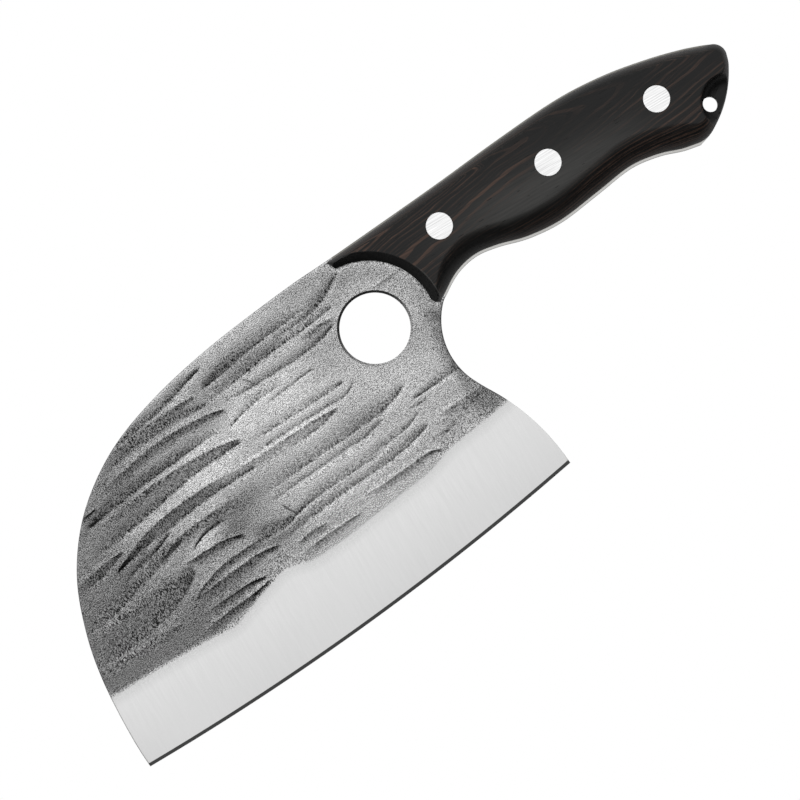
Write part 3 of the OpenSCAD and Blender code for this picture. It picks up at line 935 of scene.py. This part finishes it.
def dark_hardwood(name):
    """Nearly black wood with red-brown streaks along its figure, greyer where a sheen is painted on, and
    plain dark where shade is painted.
    """
    material, tree, shader = new_material(name)
    wander = noise(tree, 38, stretch=(0.5, 1, 1))
    ripple = noise(tree, 260, stretch=(0.3, 1, 1))
    layer = calc(tree, "ADD", attribute(tree, "grain"), ramp(tree, wander, 0.2, 0.8, -1.6, 1.6))
    layer = calc(tree, "ADD", layer, ramp(tree, ripple, 0.2, 0.8, -0.3, 0.3))
    # Streaks follow the layers, in places, and along the fibre
    bands = add(tree, "TexNoise", {"W": layer, "Scale": 1.1, "Detail": 4, "Roughness": 0.7},
                noise_dimensions="1D").outputs[0]
    fibre = noise(tree, 1700, stretch=(0.05, 1, 1), roughness=0.6)
    where = noise(tree, 60, stretch=(0.3, 1, 1))
    painted_light_on_wood = attribute(tree, "painted_light_on_wood")
    streak = ramp(tree, bands, 0.51, 0.62)
    # Fewer streaks under the painted sheen, and none under the painted shade of the hollow front and the
    # scoop
    for share in (ramp(tree, where, 0.42, 0.6, 0.06, 1), ramp(tree, fibre, 0.3, 0.65, 0.3, 1),
                  ramp(tree, painted_light_on_wood, 0.3, 1, 1, 0.3), ramp(tree, painted_light_on_wood, -0.8, 0)):
        streak = calc(tree, "MULTIPLY", streak, share)
    light_fibre = ramp(tree, fibre, 0.3, 0.7)
    dark = blend(tree, light_fibre, (0.0035, 0.0036, 0.0037), (0.0085, 0.0085, 0.0083))
    # Painted sheen: greyer where the flat face catches the light
    sheen_grey = blend(tree, light_fibre, (0.031, 0.031, 0.030), (0.048, 0.047, 0.045))
    colour = blend(tree, ramp(tree, painted_light_on_wood, 0, 1), dark, sheen_grey)
    colour = blend(tree, streak, colour, (0.075, 0.043, 0.031))
    pores = noise(tree, 2000, stretch=(0.11, 1, 1), detail=1)
    pore = ramp(tree, pores, 0.70, 0.74)
    colour = blend(tree, pore, colour, grey(0.003))
    height = calc(tree, "SUBTRACT", calc(tree, "MULTIPLY", fibre, 0.25), pore)
    dress(tree, shader, colour, ramp(tree, fibre, 0.3, 0.7, 0.34, 0.44), height, 0.35, 0.00008)
    shader.inputs["Specular IOR Level"].default_value = 0.2
    return material


def rivet_steel():
    """Bright steel brushed along x."""
    material, tree, shader = new_material("rivet_steel_finish")
    lines = noise(tree, 2600, stretch=(0.02, 1, 1), roughness=0.7)
    colour = blend(tree, ramp(tree, lines, 0.3, 0.7), grey(0.58), grey(0.93))
    dress(tree, shader, colour, ramp(tree, lines, 0.3, 0.7, 0.34, 0.24), lines, 0.15, 0.00005)
    shader.inputs["Metallic"].default_value = 1
    return material


# ---------------- stage

# Height of the camera over the blade in metres, and its lens in mm
CAMERA_FAR = 2.5
LENS = 346
# The way that is to the right in the photo, and how far right and up from the middle the camera aims
RIGHT = Vector((0.8632, -0.50486, 0)).normalized()
AIM_RIGHT, AIM_UP = -0.0085, -0.0031
# Radii in mm of the floor's rings, steps round them, and the gap in metres below the cleaver
FLOOR_RADII, FLOOR_STEPS, FLOOR_GAP = (300, 900, 3000), 48, 0.0002
FLOOR_GREY, BACKDROP_GREY = 0.6, 0.93
# The light: how far its middle is from overhead towards +Y, and its level there and at each angle from it
LIGHT_TILT = math.radians(40)
LIGHT_LEVEL = 1.7
LIGHT_STEPS = [(180, 0.02), (90, 0.05), (75, 0.06), (66, 0.08), (59, 0.18), (53, 0.5), (48, 0.82),
               (40, 1.0), (20, 1.5), (0, LIGHT_LEVEL)]


def make_camera():
    """A long lens that looks straight down, turned as the photo is."""
    up = Vector((0, 0, 1)).cross(RIGHT)
    aim = (cad_box[0] + cad_box[1]) / 2 + RIGHT * AIM_RIGHT + up * AIM_UP
    data = bpy.data.cameras.new("camera")
    data.lens = LENS
    data.sensor_width = 36
    camera = bpy.data.objects.new("camera", data)
    bpy.context.scene.collection.objects.link(camera)
    turn = Matrix((RIGHT, up, (0, 0, 1))).transposed().to_4x4()
    camera.matrix_world = Matrix.Translation((aim.x, aim.y, CAMERA_FAR)) @ turn
    bpy.context.scene.camera = camera


def make_floor():
    """A round floor that the camera sees as plain white, and everything else as pale grey."""
    n = FLOOR_STEPS
    points = [(x, y, 0) for r in FLOOR_RADII for x, y in circle((0, 0), r, n)]
    faces = [tuple(range(n))]
    for first in (0, n):
        for i in range(n):
            j = (i + 1) % n
            faces.append((first + i, first + n + i, first + n + j, first + j))
    floor = mesh_object("floor", points, faces)
    floor.location.z = cad_box[0].z - FLOOR_GAP
    material, tree, shader = new_material("pale_floor")
    shader.inputs["Base Color"].default_value = (*grey(FLOOR_GREY), 1)
    shader.inputs["Roughness"].default_value = 0.9
    lit = add(tree, "Emission", {"Color": (1, 1, 1, 1), "Strength": 1.0})
    seen = add(tree, "LightPath").outputs["Is Camera Ray"]
    both = add(tree, "MixShader", {0: seen, 1: shader.outputs[0], 2: lit.outputs[0]})
    tree.links.new(both.outputs[0], tree.nodes["Material Output"].inputs["Surface"])
    floor.data.materials.append(material)


def make_light():
    """Soft overhead light that falls off quickly towards the cutting edge."""
    world = bpy.data.worlds.new("studio")
    bpy.context.scene.world = world
    world.use_nodes = True
    tree = world.node_tree
    ahead = add(tree, "TexCoord").outputs["Generated"]
    toward = Vector((-0.05, math.sin(LIGHT_TILT), math.cos(LIGHT_TILT))).normalized()
    cosine = add(tree, "VectorMath", {0: ahead, 1: toward}, operation="DOT_PRODUCT").outputs["Value"]
    steps = add(tree, "ValToRGB", {"Fac": ramp(tree, cosine, -1, 1)})
    stops = steps.color_ramp.elements
    for degrees, level in LIGHT_STEPS:
        level /= LIGHT_LEVEL
        stop = stops[0] if degrees == 180 else stops[-1] if degrees == 0 else stops.new(0.5)
        stop.position = (1 + math.cos(math.radians(degrees))) / 2
        stop.color = (level, level, level, 1)
    background = tree.nodes["Background"]
    seen = add(tree, "Background", {"Color": (*grey(BACKDROP_GREY), 1)})
    tree.links.new(steps.outputs[0], background.inputs["Color"])
    background.inputs["Strength"].default_value = LIGHT_LEVEL
    both = add(tree, "MixShader", {0: add(tree, "LightPath").outputs["Is Camera Ray"],
                                   1: background.outputs[0], 2: seen.outputs[0]})
    tree.links.new(both.outputs[0], tree.nodes["World Output"].inputs["Surface"])
    bpy.context.scene.view_settings.view_transform = "Standard"


def give(piece, material, node):
    """Gives the piece its material and slot, and puts it in the place of a CAD node."""
    piece.data.materials.append(material)
    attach(piece, "root")
    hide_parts(node)


make_camera()
make_floor()
make_light()
give(make_blade(), forged_steel(), "blade")
for side, flip, figure in (("left", False, FIGURE_LEFT), ("right", True, FIGURE_RIGHT)):
    scale = make_scale(f"{side}_scale_shaped", flip, figure)
    give(scale, dark_hardwood(f"{side}_hardwood_finish"), f"{side}_scale")
bright = rivet_steel()
for rivet, node_name in make_rivets():
    give(rivet, bright, node_name)
